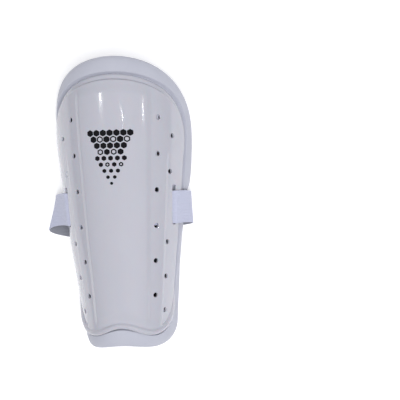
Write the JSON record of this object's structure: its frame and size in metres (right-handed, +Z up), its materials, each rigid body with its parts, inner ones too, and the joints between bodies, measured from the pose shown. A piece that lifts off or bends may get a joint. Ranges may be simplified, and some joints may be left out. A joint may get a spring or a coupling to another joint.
{
  "type": "football shin guard",
  "caption": "Football shin guard: a moulded plastic shell with vents, bonded to a foam backing, and an elastic strap that loops through slots in the shell.",
  "frame": {"origin": "middle of the guard's box, on the floor that it lies on", "axes": "+Y towards the rounded knee end, +X across the shin, +Z up through the crown, hollow side down"},
  "size_m": [0.117, 0.2176, 0.0496],
  "materials": {
    "shell_plastic": "white, moulded and glossy",
    "backing_foam": "white EVA foam, matte skin",
    "strap_elastic": "white woven elastic with fine ribs along its length"
  },
  "bodies": {
    "root": {"shell": "shell_plastic", "foam_backing": "backing_foam", "elastic_strap": "strap_elastic"}
  },
  "joints": []
}
